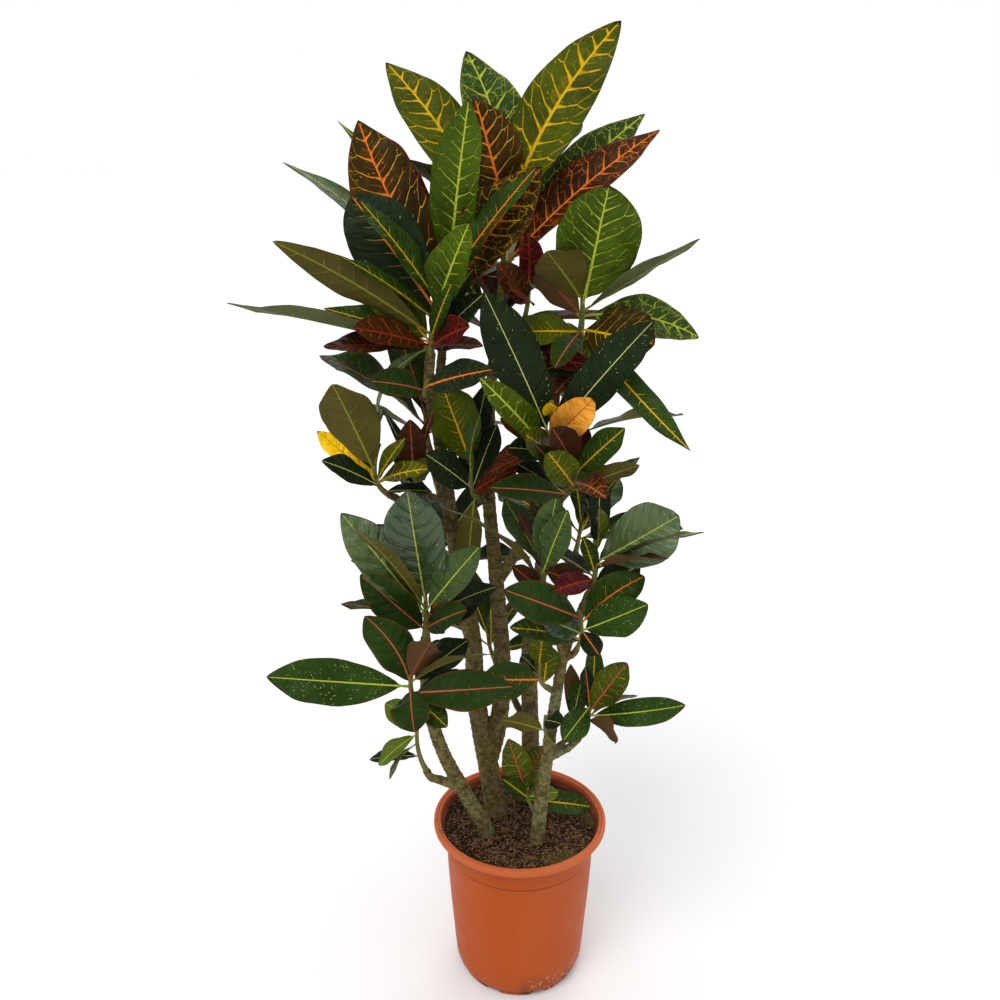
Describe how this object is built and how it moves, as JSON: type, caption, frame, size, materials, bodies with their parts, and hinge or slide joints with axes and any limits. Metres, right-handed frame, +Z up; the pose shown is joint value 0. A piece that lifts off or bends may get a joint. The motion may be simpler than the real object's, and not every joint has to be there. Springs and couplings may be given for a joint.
{
  "type": "potted croton",
  "caption": "Bushy croton with several woody stems and broad, glossy, coloured-vein leaves, in soil in a tapered round plastic nursery pot.",
  "frame": {"origin": "centre of the pot's underside, on the surface that it stands on", "axes": "+Z up along the pot's axis, -Y towards the front that the picture shows, +X to the right as seen from the front"},
  "size_m": [0.5397, 0.4228, 1.2521],
  "materials": {
    "pot": "satin terracotta-coloured plastic",
    "bark_left": "dull grey-brown bark with pale specks and leaf scars",
    "bark_centre": "dull grey-brown bark with pale specks and leaf scars",
    "bark_back": "dull grey-brown bark with pale specks and leaf scars",
    "bark_right": "dull grey-brown bark with pale specks and leaf scars",
    "soil": "dull dark brown potting soil with coir fibres",
    "leaf_yellow": "dull dying leaf",
    "leaf_orange": "dull dying leaf",
    "foliage_crown_left": "waxy leaves with coloured veins on green, with green leaf stalks",
    "foliage_crown_mid": "waxy leaves with coloured veins on green, with green leaf stalks",
    "foliage_crown_top": "waxy leaves with coloured veins on green, with green leaf stalks",
    "foliage_crown_right": "waxy leaves with coloured veins on green, with green leaf stalks",
    "foliage_centre_red": "waxy leaves with coloured veins on green, with green leaf stalks",
    "foliage_centre_high": "waxy leaves with coloured veins on green, with green leaf stalks",
    "foliage_centre_low": "waxy leaves with coloured veins on green, with green leaf stalks",
    "foliage_mid_left": "waxy leaves with coloured veins on green, with green leaf stalks",
    "foliage_mid": "waxy leaves with coloured veins on green, with green leaf stalks",
    "foliage_left_upper": "waxy leaves with coloured veins on green, with green leaf stalks",
    "foliage_left_front": "waxy leaves with coloured veins on green, with green leaf stalks",
    "foliage_left_stub": "waxy leaves with coloured veins on green, with green leaf stalks",
    "foliage_right_middle": "waxy leaves with coloured veins on green, with green leaf stalks",
    "foliage_right_inner": "waxy leaves with coloured veins on green, with green leaf stalks",
    "foliage_right_small": "waxy leaves with coloured veins on green, with green leaf stalks",
    "foliage_right_side": "waxy leaves with coloured veins on green, with green leaf stalks",
    "foliage_right_low": "waxy leaves with coloured veins on green, with green leaf stalks",
    "foliage_right_bud": "waxy leaves with coloured veins on green, with green leaf stalks",
    "foliage_basal": "waxy leaves with coloured veins on green, with green leaf stalks",
    "foliage_back_high": "waxy leaves with coloured veins on green, with green leaf stalks",
    "foliage_back_left": "waxy leaves with coloured veins on green, with green leaf stalks",
    "foliage_back_mid": "waxy leaves with coloured veins on green, with green leaf stalks",
    "foliage_back_right": "waxy leaves with coloured veins on green, with green leaf stalks",
    "foliage_back_right_high": "waxy leaves with coloured veins on green, with green leaf stalks",
    "foliage_back_low": "waxy leaves with coloured veins on green, with green leaf stalks",
    "foliage_left_low": "waxy leaves with coloured veins on green, with green leaf stalks",
    "foliage_left_inner": "waxy leaves with coloured veins on green, with green leaf stalks",
    "foliage_crown_right_low": "waxy leaves with coloured veins on green, with green leaf stalks",
    "foliage_right_back": "waxy leaves with coloured veins on green, with green leaf stalks"
  },
  "bodies": {
    "root": {"pot": "pot", "stem_left": "bark_left", "stem_centre": "bark_centre", "stem_back": "bark_back", "stem_right": "bark_right", "soil": "soil", "leaf_yellow": "leaf_yellow", "leaf_orange": "leaf_orange", "shoot_crown_left": "foliage_crown_left", "shoot_crown_mid": "foliage_crown_mid", "shoot_crown_top": "foliage_crown_top", "shoot_crown_right": "foliage_crown_right", "shoot_centre_red": "foliage_centre_red", "shoot_centre_high": "foliage_centre_high", "shoot_centre_low": "foliage_centre_low", "shoot_mid_left": "foliage_mid_left", "shoot_mid": "foliage_mid", "shoot_left_upper": "foliage_left_upper", "shoot_left_front": "foliage_left_front", "shoot_left_stub": "foliage_left_stub", "shoot_right_middle": "foliage_right_middle", "shoot_right_inner": "foliage_right_inner", "shoot_right_small": "foliage_right_small", "shoot_right_side": "foliage_right_side", "shoot_right_low": "foliage_right_low", "shoot_right_bud": "foliage_right_bud", "shoot_basal": "foliage_basal", "shoot_back_high": "foliage_back_high", "shoot_back_left": "foliage_back_left", "shoot_back_mid": "foliage_back_mid", "shoot_back_right": "foliage_back_right", "shoot_back_right_high": "foliage_back_right_high", "shoot_back_low": "foliage_back_low", "shoot_left_low": "foliage_left_low", "shoot_left_inner": "foliage_left_inner", "shoot_crown_right_low": "foliage_crown_right_low", "shoot_right_back": "foliage_right_back"}
  },
  "joints": []
}
